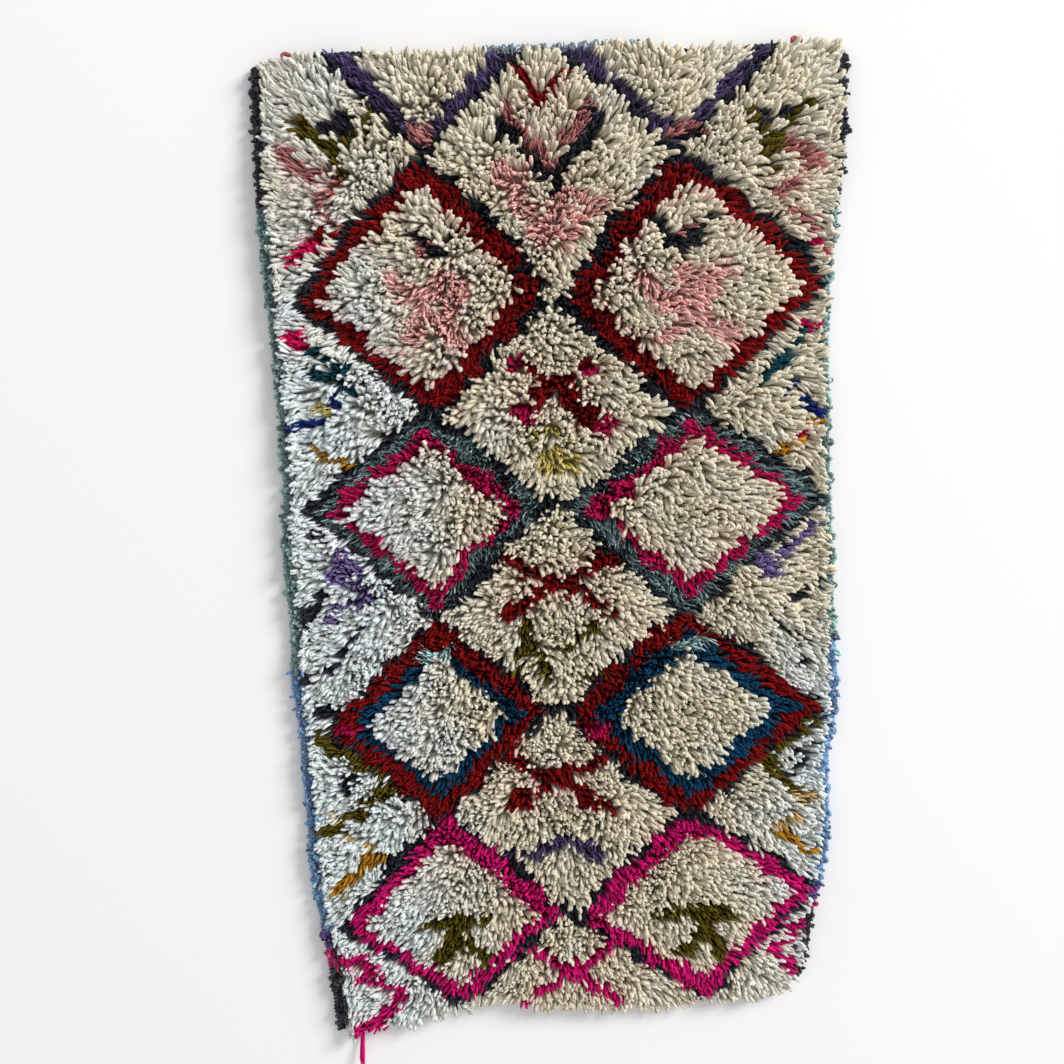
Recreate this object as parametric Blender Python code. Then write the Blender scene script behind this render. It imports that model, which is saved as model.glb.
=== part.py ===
"""A small hand-knotted shag rug, lying flat on the surface under it.

Metres, +Z up. The origin is the middle of the rug's box on the surface that it lies on. +Y runs along the
rug to the end that is bound with a cord, and +X is to the right for someone who looks down on the pile.
"""
import math

import bmesh
import bpy

# Driving dimensions
HALF_WIDTH = 0.404
HALF_LENGTH = 0.737
PILE_HIGH = 0.029
PILE_LOW = 0.021
GAP = 0.0007
SELVEDGE_WIDTH = 0.0135
SELVEDGE_HEIGHT = 0.0095
HEADING_WIDTH = 0.0105
HEADING_HEIGHT = 0.0075
KNOT_SIZE = (0.018, 0.0125, 0.0105)
KNOT_PLACES = (-0.353, 0.333)
KNOT_OUT = 0.002
SELVEDGE_END_IN = 0.022
LOZENGE_PITCH = 0.376
WAVE_HEIGHT = 0.0008

MM = 0.001

# How far the long edges draw in from the half width, in mm: place along the rug, left edge, right edge
SIDE_DRAW_IN = (
    (735, 3, 6),
    (620, 0, 1),
    (500, 0, 10),
    (400, 5, 20),
    (280, 11, 19),
    (140, 13, 15),
    (20, 7, 9),
    (-60, 12, 6),
    (-150, 9, 2),
    (-210, 15, 0),
    (-290, 18, 11),
    (-380, 20, 9),
    (-460, 22, 15),
    (-540, 33, 31),
    (-620, 42, 43),
    (-735, 50, 86),
)

# How far the short ends draw in from the half length, in mm: place across the rug, bound end, far end
END_DRAW_IN = (
    (-365, 12, 0),
    (-270, 3, 18),
    (-180, 9, 46),
    (-100, 9, 60),
    (0, 8, 47),
    (110, 6, 46),
    (200, 10, 52),
    (290, 6, 60),
    (365, 6, 88),
)

# Where the lozenges of one column meet, in mm along the rug, from the bound end to the far end
LOZENGE_JOINS = (585, 225, -48, -365, -660)

# Cross-section of the edge from the crown down, in mm: inset from the pile's reach, height
EDGE_PROFILE = (
    (5.0, 20.5),
    (0.0, 15.5),
    (1.5, 11.2),
)
CROWN_INSET = 0.014

# Inset of the pile's reach and of the ground weave's foot from the outline: left, right, bound end, far end
PILE_INSET = (0.009, 0.003, 0.004, 0.0)
FOOT_INSET = (
    SELVEDGE_WIDTH + GAP,
    SELVEDGE_WIDTH + GAP,
    HEADING_WIDTH + GAP,
    0.011,
)

# Yarns: color, roughness
CREAM = ((0.80, 0.75, 0.62, 1.0), 0.85)
GREY_TEAL = ((0.17, 0.27, 0.28, 1.0), 0.9)
CHARCOAL = ((0.06, 0.065, 0.08, 1.0), 0.9)
ROSE = ((0.42, 0.10, 0.12, 1.0), 0.8)

CELLS_ACROSS = 28
CELLS_ALONG = 50
SETTLING_PASSES = 4
OVAL_SIDES = 12
SELVEDGE_STEPS = 48
HEADING_STEPS = 36
KNOT_SIDES = 16
KNOT_RINGS = 8
WELD = 0.00001
SHARP_ANGLE = math.radians(40)


def clear_scene():
    for old in list(bpy.data.objects):
        bpy.data.objects.remove(old, do_unlink=True)


def through_rows(rows, column, place):
    """Smooth curve through one column of a table whose first column is the place, all in mm."""
    ordered = sorted(rows)
    place = min(max(place, ordered[0][0]), ordered[-1][0])
    last = len(ordered) - 1
    index = min(sum(1 for row in ordered[1:] if row[0] <= place), last - 1)
    before = ordered[max(index - 1, 0)]
    start = ordered[index]
    end = ordered[index + 1]
    after = ordered[min(index + 2, last)]
    span = end[0] - start[0]
    slope_in = (end[column] - before[column]) / (end[0] - before[0]) * span
    slope_out = (after[column] - start[column]) / (after[0] - start[0]) * span
    t = (place - start[0]) / span
    return (
        (2 * t ** 3 - 3 * t ** 2 + 1) * start[column]
        + (t ** 3 - 2 * t ** 2 + t) * slope_in
        + (3 * t ** 2 - 2 * t ** 3) * end[column]
        + (t ** 3 - t ** 2) * slope_out
    )


def left_edge(y):
    return -HALF_WIDTH + MM * through_rows(SIDE_DRAW_IN, 1, y / MM)


def right_edge(y):
    return HALF_WIDTH - MM * through_rows(SIDE_DRAW_IN, 2, y / MM)


def bound_end(x):
    return HALF_LENGTH - MM * through_rows(END_DRAW_IN, 1, x / MM)


def far_end(x):
    return -HALF_LENGTH + MM * through_rows(END_DRAW_IN, 2, x / MM)


def plan_point(across, along, inset):
    """Place on the rug's plan, with both fractions from 0 to 1, inside an outline drawn in by the insets."""
    left_in, right_in, bound_in, far_in = inset
    y = (2 * along - 1) * HALF_LENGTH
    for _ in range(SETTLING_PASSES):
        left = left_edge(y) + left_in
        right = right_edge(y) - right_in
        x = left + (right - left) * across
        low = far_end(x) + far_in
        high = bound_end(x) - bound_in
        y = low + (high - low) * along
    return x, y


def rows_from_first_join(y):
    """Count of lozenge rows between the first join and a place along the rug."""
    joins = [join * MM for join in LOZENGE_JOINS]
    index = min(sum(1 for join in joins[1:-1] if y < join), len(joins) - 2)
    return index + (joins[index] - y) / (joins[index] - joins[index + 1])


def pile_top(x, y):
    """Height of the pile, which stands high in each lozenge and sinks along the lines between them."""
    rows = rows_from_first_join(y)
    rising = math.cos(math.pi * (x / LOZENGE_PITCH + rows))
    falling = math.cos(math.pi * (x / LOZENGE_PITCH - rows))
    fullness = math.sqrt(abs(rising * falling))
    wave = WAVE_HEIGHT * math.sin(9 * x + 2) * math.sin(5 * y)
    return PILE_LOW + (PILE_HIGH - PILE_LOW) * fullness + wave


def grown(inset, amount):
    return tuple(value + amount for value in inset)


def boundary_ring(mesh, inset, height, fractions):
    """One closed ring of points around the rug, at the given inset and height."""
    return [mesh.verts.new((*plan_point(across, along, inset), height)) for across, along in fractions]


def join_rings(mesh, upper, lower):
    count = len(upper)
    for i in range(count):
        j = (i + 1) % count
        mesh.faces.new((upper[i], lower[i], lower[j], upper[j]))


def make_yarn(name, yarn):
    color, roughness = yarn
    material = bpy.data.materials.new(name)
    material.use_nodes = True
    surface = material.node_tree.nodes["Principled BSDF"]
    surface.inputs["Base Color"].default_value = color
    surface.inputs["Roughness"].default_value = roughness
    surface.inputs["Metallic"].default_value = 0.0
    return material


def finish_object(name, mesh, yarn, collection):
    """Turn the working mesh into one named object with a material of its own."""
    bmesh.ops.recalc_face_normals(mesh, faces=mesh.faces)
    data = bpy.data.meshes.new(name)
    mesh.to_mesh(data)
    mesh.free()
    data.shade_smooth()
    data.set_sharp_from_angle(angle=SHARP_ANGLE)
    data.materials.append(make_yarn(name, yarn))
    collection.objects.link(bpy.data.objects.new(name, data))


def outer_ring(mesh):
    """The points on the open edge of the mesh, in order around it."""
    edge = next(edge for edge in mesh.edges if edge.is_boundary)
    ring = list(edge.verts)
    while ring[-1] is not ring[0]:
        step = next(
            link
            for link in ring[-1].link_edges
            if link.is_boundary and link.other_vert(ring[-1]) is not ring[-2]
        )
        ring.append(step.other_vert(ring[-1]))
    return ring[:-1]


def make_rug(collection):
    """Ground weave and pile in one solid: crowned top, overhanging edge and a flat underside."""
    mesh = bmesh.new()
    bmesh.ops.create_grid(mesh, x_segments=CELLS_ACROSS, y_segments=CELLS_ALONG, size=0.5)
    crown_inset = grown(PILE_INSET, CROWN_INSET)
    fraction_of = {}
    for vert in mesh.verts:
        fraction = (vert.co.x + 0.5, vert.co.y + 0.5)
        fraction_of[vert] = fraction
        x, y = plan_point(*fraction, crown_inset)
        vert.co = (x, y, pile_top(x, y))

    upper = outer_ring(mesh)
    fractions = [fraction_of[vert] for vert in upper]
    for extra, height in EDGE_PROFILE:
        lower = boundary_ring(mesh, grown(PILE_INSET, extra * MM), height * MM, fractions)
        join_rings(mesh, upper, lower)
        upper = lower
    for height in (EDGE_PROFILE[-1][1] * MM, 0.0):
        lower = boundary_ring(mesh, FOOT_INSET, height, fractions)
        join_rings(mesh, upper, lower)
        upper = lower
    mesh.faces.new(upper)
    finish_object("rug", mesh, CREAM, collection)


def make_oval_profile(name, width, height):
    """Closed oval outline, which the cords along the edges are drawn out from."""
    outline = bpy.data.curves.new(name, "CURVE")
    outline.dimensions = "2D"
    spline = outline.splines.new("POLY")
    spline.points.add(OVAL_SIDES - 1)
    for i, point in enumerate(spline.points):
        turn = 2 * math.pi * i / OVAL_SIDES
        point.co = (width / 2 * math.cos(turn), height / 2 * math.sin(turn), 0.0, 1.0)
    spline.use_cyclic_u = True
    profile = bpy.data.objects.new(name, outline)
    bpy.context.scene.collection.objects.link(profile)
    return profile


def make_oval_cord(name, centres, width, height, yarn, collection):
    """A cord of oval section that lies on the surface and follows the given plan points."""
    profile = make_oval_profile(f"{name}_profile", width, height)
    route = bpy.data.curves.new(f"{name}_route", "CURVE")
    route.dimensions = "3D"
    route.twist_mode = "Z_UP"
    route.bevel_mode = "OBJECT"
    route.bevel_object = profile
    route.use_fill_caps = True
    spline = route.splines.new("POLY")
    spline.points.add(len(centres) - 1)
    for point, (x, y) in zip(spline.points, centres):
        point.co = (x, y, height / 2, 1.0)
    drawn = bpy.data.objects.new(f"{name}_route", route)
    bpy.context.scene.collection.objects.link(drawn)

    depsgraph = bpy.context.evaluated_depsgraph_get()
    swept = bpy.data.meshes.new_from_object(drawn.evaluated_get(depsgraph))
    mesh = bmesh.new()
    mesh.from_mesh(swept)
    bmesh.ops.remove_doubles(mesh, verts=mesh.verts, dist=WELD)
    bpy.data.objects.remove(drawn, do_unlink=True)
    bpy.data.objects.remove(profile, do_unlink=True)
    bpy.data.meshes.remove(swept)
    finish_object(name, mesh, yarn, collection)


def make_selvedge(name, edge, toward_middle, collection):
    """Overcast cord along one long edge, with its outer face on the outline."""
    near = HALF_LENGTH - SELVEDGE_END_IN
    far = far_end(edge(-HALF_LENGTH)) + SELVEDGE_END_IN
    centres = []
    for i in range(SELVEDGE_STEPS + 1):
        y = near + (far - near) * i / SELVEDGE_STEPS
        centres.append((edge(y) + toward_middle * SELVEDGE_WIDTH / 2, y))
    make_oval_cord(name, centres, SELVEDGE_WIDTH, SELVEDGE_HEIGHT, GREY_TEAL, collection)


def make_heading(collection):
    """Cord that binds the end of the warps, between its two tied ends."""
    left = KNOT_PLACES[0] + KNOT_SIZE[0] / 2 + GAP
    right = KNOT_PLACES[1] - KNOT_SIZE[0] / 2 - GAP
    centres = []
    for i in range(HEADING_STEPS + 1):
        x = left + (right - left) * i / HEADING_STEPS
        centres.append((x, bound_end(x) - HEADING_WIDTH / 2))
    make_oval_cord("heading_cord", centres, HEADING_WIDTH, HEADING_HEIGHT, CHARCOAL, collection)


def make_knots(collection):
    """The two round knots of rose yarn that tie off the heading cord."""
    for side, x in zip(("left", "right"), KNOT_PLACES):
        mesh = bmesh.new()
        bmesh.ops.create_uvsphere(mesh, u_segments=KNOT_SIDES, v_segments=KNOT_RINGS, radius=0.5)
        y = bound_end(x) - HEADING_WIDTH / 2 + KNOT_OUT
        for vert in mesh.verts:
            vert.co.x = x + vert.co.x * KNOT_SIZE[0]
            vert.co.y = y + vert.co.y * KNOT_SIZE[1]
            vert.co.z = (0.5 + vert.co.z) * KNOT_SIZE[2]
        finish_object(f"knot_{side}", mesh, ROSE, collection)


clear_scene()
rug_collection = bpy.data.collections.new("shag_rug")
bpy.context.scene.collection.children.link(rug_collection)
make_rug(rug_collection)
make_selvedge("selvedge_left", left_edge, 1, rug_collection)
make_selvedge("selvedge_right", right_edge, -1, rug_collection)
make_heading(rug_collection)
make_knots(rug_collection)
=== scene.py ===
import math
from typing import NamedTuple

import bpy
import numpy as np
from mathutils import Matrix, Vector


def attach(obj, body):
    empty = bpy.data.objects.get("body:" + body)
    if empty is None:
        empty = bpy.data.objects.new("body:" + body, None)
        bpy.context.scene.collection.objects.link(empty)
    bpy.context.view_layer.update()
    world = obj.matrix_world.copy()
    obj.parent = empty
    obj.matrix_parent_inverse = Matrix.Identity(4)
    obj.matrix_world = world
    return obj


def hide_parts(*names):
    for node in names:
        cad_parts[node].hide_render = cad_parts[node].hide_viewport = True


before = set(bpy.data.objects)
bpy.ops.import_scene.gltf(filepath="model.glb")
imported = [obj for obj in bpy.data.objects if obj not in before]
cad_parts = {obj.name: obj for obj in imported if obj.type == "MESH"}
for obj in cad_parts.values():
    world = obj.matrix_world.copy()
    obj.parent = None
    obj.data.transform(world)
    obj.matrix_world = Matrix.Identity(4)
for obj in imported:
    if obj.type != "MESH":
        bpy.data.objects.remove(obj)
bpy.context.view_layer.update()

# The ground is a plain weave of wool wefts on cotton warps, about 3 mm thick. It is woven row by row with
# the pile knotted in, so its sides and ends are as uneven as the loom left them, and its back shows every
# knot. What the knots draw, and in which yarns, is settled here too.
MM = 0.001
HALF_WIDTH = 0.404
HALF_LENGTH = 0.737
GROUND_THICKNESS = 0.003
KNOTS_ACROSS = 88
KNOT_ROWS = 140
SETTLING_PASSES = 4
FOOT_INSET = (0.0145, 0.0145, 0.012, 0.011)

# How far the long edges draw in from the half width, in mm: place along the rug, left edge, right edge
SIDE_DRAW_IN = (
    (735, 3, 6), (620, 0, 1), (500, 0, 10), (400, 5, 20), (280, 11, 19), (140, 13, 15), (20, 7, 9),
    (-60, 12, 6), (-150, 9, 2), (-210, 15, 0), (-290, 18, 11), (-380, 20, 9), (-460, 22, 15), (-540, 33, 31),
    (-620, 42, 43), (-735, 50, 86),
)
# How far the short ends draw in from the half length, in mm: place across the rug, bound end, far end
END_DRAW_IN = (
    (-365, 12, 0), (-270, 3, 18), (-180, 9, 46), (-100, 9, 60), (0, 8, 47), (110, 6, 46), (200, 10, 52),
    (290, 6, 60), (365, 6, 88),
)


def through_rows(rows, column, place):
    """Smooth curve through one column of a table whose first column is the place, all in mm."""
    table = np.array(sorted(rows), float)
    at, value = table[:, 0], table[:, column]
    wide_at = np.concatenate((at[:1], at, at[-1:]))
    wide_value = np.concatenate((value[:1], value, value[-1:]))
    slope = (wide_value[2:] - wide_value[:-2]) / (wide_at[2:] - wide_at[:-2])
    place = np.clip(place, at[0], at[-1])
    start = np.clip(np.searchsorted(at, place, side="right") - 1, 0, len(at) - 2)
    span = at[start + 1] - at[start]
    t = (place - at[start]) / span
    return (
        (2 * t ** 3 - 3 * t ** 2 + 1) * value[start]
        + (t ** 3 - 2 * t ** 2 + t) * slope[start] * span
        + (3 * t ** 2 - 2 * t ** 3) * value[start + 1]
        + (t ** 3 - t ** 2) * slope[start + 1] * span
    )


def left_edge(y):
    return -HALF_WIDTH + MM * through_rows(SIDE_DRAW_IN, 1, y / MM)


def right_edge(y):
    return HALF_WIDTH - MM * through_rows(SIDE_DRAW_IN, 2, y / MM)


def bound_end(x):
    return HALF_LENGTH - MM * through_rows(END_DRAW_IN, 1, x / MM)


def far_end(x):
    return -HALF_LENGTH + MM * through_rows(END_DRAW_IN, 2, x / MM)


def plan_point(across, along, inset):
    """Places on the rug's plan, with both fractions from 0 to 1, inside an outline drawn in by insets."""
    left_in, right_in, bound_in, far_in = inset
    y = (2 * along - 1) * HALF_LENGTH
    for _ in range(SETTLING_PASSES):
        left = left_edge(y) + left_in
        right = right_edge(y) - right_in
        x = left + (right - left) * across
        low = far_end(x) + far_in
        high = bound_end(x) - bound_in
        y = low + (high - low) * along
    return x, y


WAVES = 7
WAVES_ADD_UP_TO = 3.2
SHORTEST_WAVE = 0.7
WAVE_SPREAD = 0.6


def wander(x, y, size, seed):
    """Smooth uneven values from about -1 to 1 over the plan, as hand work varies, in bumps of one size."""
    waves = np.random.default_rng(seed)
    total = np.zeros_like(x)
    for _ in range(WAVES):
        turn, shift, scale = waves.uniform(0, 2 * math.pi, 3)
        stretch = size * (SHORTEST_WAVE + WAVE_SPREAD * scale / (2 * math.pi))
        total = total + np.sin(2 * math.pi * (x * math.cos(turn) + y * math.sin(turn)) / stretch + shift)
    return total / WAVES_ADD_UP_TO


# Each dark outline is a lozenge, given in mm by the corners on its middle line, its roundness in each
# quarter (1 is straight and more bulges), and the set of bands that lies inside it
LOZENGES = (
    # left, top, right, bottom, (upper left, upper right, lower right, lower left), bands
    ((-345, 780), (-180, 950), (0, 775), (-180, 598), (1.0, 1.0, 1.0, 1.0), "violet"),
    ((-5, 752), (180, 950), (352, 778), (180, 597), (1.0, 1.0, 1.0, 1.0), "violet"),
    ((-362, 398), (-184, 594), (-12, 408), (-175, 234), (1.12, 1.15, 1.05, 1.05), "red"),
    ((16, 388), (183, 590), (388, 410), (195, 226), (1.15, 1.12, 1.05, 1.05), "red"),
    ((-362, 100), (-185, 237), (-26, 100), (-183, -62), (1.1, 1.1, 1.0, 0.95), "teal"),
    ((16, 98), (197, 238), (386, 106), (190, -60), (1.02, 1.05, 1.0, 1.0), "teal"),
    ((-356, -226), (-185, -64), (-24, -208), (-186, -368), (1.0, 1.1, 1.0, 1.0), "petrol"),
    ((14, -212), (188, -58), (386, -205), (190, -372), (1.15, 1.0, 1.05, 1.1), "broad_petrol"),
    ((-345, -545), (-180, -366), (-7, -524), (-160, -672), (1.1, 1.1, 1.0, 1.0), "magenta"),
    ((23, -538), (190, -371), (384, -492), (214, -670), (1.15, 1.1, 1.0, 1.0), "magenta"),
)
# Yarn of each band and how far in it ends, in mm from the middle line of the outline
BANDS = {
    "violet": (("charcoal", 4), ("violet", 21)),
    "red": (("charcoal", 4), ("red", 26)),
    "teal": (("charcoal", 3), ("grey_teal", 14), ("crimson", 31)),
    "petrol": (("charcoal", 2), ("red", 20), ("petrol", 39)),
    "broad_petrol": (("charcoal", 2), ("red", 19), ("petrol", 44)),
    "magenta": (("charcoal", 3), ("magenta", 23)),
}
# How far the outline of each set reaches outside its middle line, in mm
OUTLINE_OUT = {"violet": 7, "red": 6, "teal": 8, "petrol": 4, "broad_petrol": 5, "magenta": 6}


def lozenge_depth(lozenge, x, y):
    """How far each place in mm lies inside the lozenge's middle line, below 0 outside it."""
    left, top, right, bottom = (np.array(corner, float) for corner in lozenge[:4])
    middle = (left + right) / 2 * 0.5 + (top + bottom) / 2 * 0.5
    quarters = ((left, top), (right, top), (right, bottom), (left, bottom))
    share = np.full(x.shape, np.inf)
    for (side, end), roundness in zip(quarters, lozenge[4]):
        side_arm, end_arm = side - middle, end - middle
        area = side_arm[0] * end_arm[1] - side_arm[1] * end_arm[0]
        to_side = ((x - middle[0]) * end_arm[1] - (y - middle[1]) * end_arm[0]) / area
        to_end = (side_arm[0] * (y - middle[1]) - side_arm[1] * (x - middle[0])) / area
        inside = (to_side >= 0) & (to_end >= 0)
        reach = (np.abs(to_side) ** roundness + np.abs(to_end) ** roundness) ** (1 / roundness)
        share = np.where(inside, np.minimum(share, reach), share)
    half_wide = (right[0] - left[0]) / 2
    half_long = (top[1] - bottom[1]) / 2
    return (1 - share) * half_wide * half_long / math.hypot(half_wide, half_long)


# Small figures knotted into the fields, in mm: shape, yarn, middle across, middle along, half width, half
# length, thickness. A patch is an oval spot, and the others are drawn corner to corner in that box.
FIGURES = (
    ("patch", "charcoal", 2, 386, 13, 6, 0),
    ("patch", "charcoal", -3, 105, 24, 11, 0),
    ("patch", "charcoal", -3, -205, 34, 15, 0),
    ("patch", "charcoal", 8, -532, 14, 5, 0),
    ("vee", "red", -12, 683, 33, 26, 14),
    ("vee", "charcoal", 0, 600, 72, 45, 20),
    ("vee", "rose", 0, 618, 62, 42, 19),
    ("vee", "pink", -55, 555, 17, 18, 26),
    ("vee", "pink", -15, 505, 32, 28, 29),
    ("fall", "pink", 45, 535, 30, 14, 26),
    ("rise", "pink", 35, 495, 18, 26, 26),
    ("patch", "rose", -182, 620, 21, 16, 0),
    ("patch", "rose", 192, 622, 24, 15, 0),
    ("vee", "olive", -298, 624, 50, 26, 15),
    ("rise", "charcoal", -305, 640, 26, 12, 20),
    ("bar", "charcoal", -300, 633, 22, 6, 19),
    ("fall", "olive", -290, 586, 8, 20, 17),
    ("vee", "olive", 312, 630, 48, 26, 14),
    ("bar", "charcoal", 308, 640, 22, 6, 20),
    ("fall", "olive", 303, 588, 8, 20, 17),
    ("fall", "rose", -348, 583, 24, 18, 16),
    ("left", "rose", -312, 532, 14, 26, 16),
    ("patch", "red", -318, 494, 15, 8, 0),
    ("rise", "hot_pink", -352, 468, 20, 14, 16),
    ("fall", "rose", 352, 590, 20, 12, 16),
    ("rise", "rose", 338, 552, 22, 22, 16),
    ("fall", "rose", 352, 498, 18, 12, 15),
    ("patch", "hot_pink", 374, 464, 15, 12, 0),
    ("vee", "charcoal", -170, 477, 32, 17, 15),
    ("patch", "rose", -182, 474, 19, 15, 0),
    ("vee", "charcoal", 187, 480, 38, 24, 18),
    ("vee", "rose", 178, 478, 22, 14, 14),
    ("vee", "pink", -190, 410, 38, 20, 29),
    ("vee", "pink", -140, 405, 20, 20, 26),
    ("caret", "pink", -170, 358, 42, 20, 29),
    ("vee", "pink", 165, 402, 46, 20, 28),
    ("vee", "pink", 215, 408, 30, 20, 26),
    ("caret", "pink", 200, 352, 50, 20, 29),
    ("patch", "hot_pink", -364, 347, 18, 12, 0),
    ("fall", "teal", -322, 318, 26, 16, 15),
    ("fall", "teal", -318, 292, 30, 14, 15),
    ("patch", "crimson", 366, 352, 22, 10, 0),
    ("rise", "teal", 328, 312, 22, 24, 18),
    ("cross", "red", 0, 268, 52, 42, 20),
    ("patch", "red", 0, 268, 34, 14, 0),
    ("patch", "crimson", -56, 312, 15, 15, 0),
    ("patch", "crimson", 57, 300, 15, 14, 0),
    ("patch", "crimson", -42, 233, 14, 15, 0),
    ("patch", "crimson", 73, 218, 12, 13, 0),
    ("patch", "yellow", -8, 208, 24, 10, 0),
    ("patch", "yellow", 4, 165, 40, 22, 0),
    ("patch", "navy", -310, 263, 12, 9, 0),
    ("rise", "navy", -360, 228, 24, 9, 12),
    ("patch", "yellow", -330, 252, 11, 8, 0),
    ("fall", "mustard", -325, 180, 20, 10, 12),
    ("patch", "navy", 334, 264, 12, 11, 0),
    ("fall", "navy", 372, 234, 18, 11, 14),
    ("patch", "mustard", 372, 214, 13, 5, 0),
    ("bar", "crimson", 352, 197, 16, 4, 6),
    ("rise", "mustard", 334, 182, 14, 8, 15),
    ("left", "lilac", -310, 38, 22, 26, 15),
    ("right", "lilac", -306, -20, 32, 30, 17),
    ("fall", "charcoal", -355, 66, 12, 5, 12),
    ("rise", "lilac", 345, 45, 28, 24, 15),
    ("patch", "lilac", 308, 8, 18, 20, 0),
    ("cross", "red", 0, -12, 82, 44, 19),
    ("patch", "red", 4, -10, 34, 7, 0),
    ("rise", "charcoal", -362, -38, 16, 22, 20),
    ("rise", "charcoal", -314, -100, 14, 26, 16),
    ("rise", "charcoal", -358, -140, 22, 10, 15),
    ("rise", "charcoal", 360, -32, 22, 12, 18),
    ("fall", "charcoal", 336, -92, 26, 20, 15),
    ("patch", "charcoal", 362, -143, 15, 7, 0),
    ("caret", "olive", -46, -112, 20, 42, 14),
    ("rise", "olive", 30, -95, 26, 22, 14),
    ("rise", "olive", 42, -155, 20, 5, 10),
    ("patch", "turquoise", -180, -108, 32, 12, 0),
    ("patch", "turquoise", 190, -104, 34, 13, 0),
    ("patch", "charcoal", -350, -200, 24, 12, 0),
    ("patch", "crimson", -322, -226, 24, 12, 0),
    ("patch", "crimson", 50, -234, 20, 11, 0),
    ("patch", "hot_pink", 338, -219, 14, 8, 0),
    ("right", "olive", -310, -312, 56, 74, 16),
    ("rise", "charcoal", -324, -312, 10, 14, 14),
    ("left", "olive", 338, -290, 36, 66, 16),
    ("rise", "charcoal", 360, -272, 14, 12, 15),
    ("rise", "charcoal", 355, -300, 10, 12, 14),
    ("patch", "peach", 364, -346, 20, 10, 0),
    ("patch", "peach", -348, -367, 10, 12, 0),
    ("fall", "peach", -322, -392, 28, 20, 10),
    ("rise", "mustard", -316, -458, 32, 30, 18),
    ("bar", "mustard", -285, -428, 20, 5, 11),
    ("rise", "peach", 347, -374, 22, 18, 16),
    ("fall", "mustard", 350, -420, 24, 17, 17),
    ("cross", "red", -6, -312, 74, 40, 20),
    ("patch", "red", -72, -336, 15, 14, 0),
    ("patch", "red", 62, -354, 15, 11, 0),
    ("patch", "grey_teal", 53, -384, 10, 8, 0),
    ("caret", "violet", 5, -420, 48, 16, 18),
    ("bar", "violet", -62, -433, 18, 6, 19),
    ("bar", "olive", -168, -536, 44, 10, 22),
    ("caret", "olive", -162, -576, 30, 19, 25),
    ("bar", "olive", 196, -530, 60, 12, 19),
    ("caret", "olive", 212, -574, 26, 24, 30),
    ("cross", "magenta", 6, -622, 74, 50, 16),
    ("fall", "magenta", -320, -600, 36, 13, 18),
    ("fall", "magenta", -300, -630, 22, 10, 16),
    ("rise", "magenta", -284, -688, 32, 44, 20),
    ("patch", "magenta", -308, -712, 15, 18, 0),
    ("rise", "magenta", -322, -712, 10, 20, 13),
    ("left", "magenta", 344, -592, 22, 50, 19),
)
FIGURE_CORNERS = {
    "vee": ((-1, 1), (0, -1), (1, 1)),
    "caret": ((-1, -1), (0, 1), (1, -1)),
    "left": ((1, 1), (-1, 0), (1, -1)),
    "right": ((-1, 1), (1, 0), (-1, -1)),
    "bar": ((-1, -0.3), (1, 0.3)),
    "rise": ((-1, -1), (1, 1)),
    "fall": ((-1, 1), (1, -1)),
}
FIGURE_CORNERS["cross"] = FIGURE_CORNERS["rise"] + FIGURE_CORNERS["fall"]


def near_line(x, y, start, end):
    """Distance in mm from each place to the straight stretch between two points."""
    across, along = end[0] - start[0], end[1] - start[1]
    t = ((x - start[0]) * across + (y - start[1]) * along) / (across ** 2 + along ** 2)
    t = np.clip(t, 0, 1)
    return np.hypot(x - start[0] - t * across, y - start[1] - t * along)


def in_figure(figure, x, y):
    shape, _, middle_x, middle_y, half_wide, half_long, thickness = figure
    if shape == "patch":
        return np.hypot((x - middle_x) / half_wide, (y - middle_y) / half_long) < 1
    corners = [(middle_x + a * half_wide, middle_y + b * half_long) for a, b in FIGURE_CORNERS[shape]]
    runs = list(zip(corners, corners[1:]))
    if shape == "cross":
        runs = [runs[0], runs[2]]
    return np.min([near_line(x, y, *run) for run in runs], axis=0) < thickness / 2


# How far the drawing strays from its lines, and how long its bends are, in mm
DRAWING_STRAYS = 4
DRAWING_BENDS = 45.0


def chart_yarns(x, y):
    """The yarn of the knot at each place, in metres: bands inside the dark outlines, and small figures."""
    x, y = x / MM, y / MM
    stray_x = DRAWING_STRAYS * wander(x, y, DRAWING_BENDS, 11)
    stray_y = DRAWING_STRAYS * wander(x, y, DRAWING_BENDS, 12)
    x, y = x + stray_x, y + stray_y
    yarns = np.full(x.shape, "cream", dtype="<U12")
    for lozenge in LOZENGES:
        depth = lozenge_depth(lozenge, x, y)
        start = -OUTLINE_OUT[lozenge[-1]]
        for yarn, end in BANDS[lozenge[-1]]:
            within = (depth > start) & (depth <= end) & ((yarns == "cream") | (start < 0))
            yarns[within] = yarn
            start = end
    for figure in FIGURES:
        shape, yarn = figure[:2]
        free = (yarns != "charcoal") if shape == "patch" else (yarns == "cream")
        yarns[in_figure(figure, x, y) & free] = yarn
    return yarns


class Yarn(NamedTuple):
    """A yarn's colour and its slot in the record, which is not used, how much its brightness varies, and its
    strands.
    """

    colour: tuple
    slot: str
    spread: float
    girth_mm: float
    length_mm: float
    strays_per_knot: float


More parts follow.
